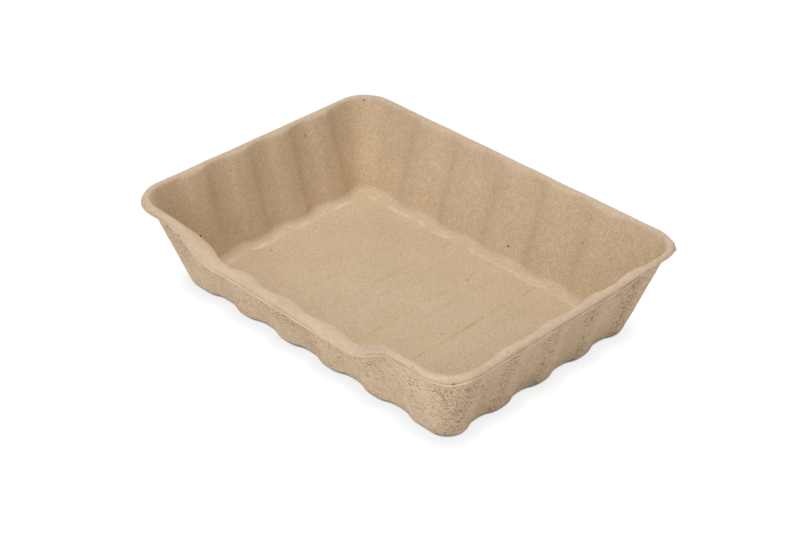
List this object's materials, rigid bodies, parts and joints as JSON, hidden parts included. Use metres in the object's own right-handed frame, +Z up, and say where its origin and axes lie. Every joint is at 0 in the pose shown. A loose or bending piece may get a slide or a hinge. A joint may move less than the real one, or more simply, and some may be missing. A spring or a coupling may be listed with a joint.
{
  "type": "moulded pulp litter tray",
  "caption": "Open rectangular tray moulded from paper pulp, with leaning fluted walls, a rolled rim with an outer lip, and one long side lowered as an entry.",
  "frame": {"origin": "middle of the flat underside, where the tray rests", "axes": "+X along the long side, -Y towards the lowered entry side, +Z up"},
  "size_m": [0.4326, 0.3196, 0.095],
  "materials": {
    "pulp": "matte moulded recycled paper pulp, kraft tan, with fine fibre speckle"
  },
  "bodies": {
    "root": {"tray": "pulp"}
  },
  "joints": []
}
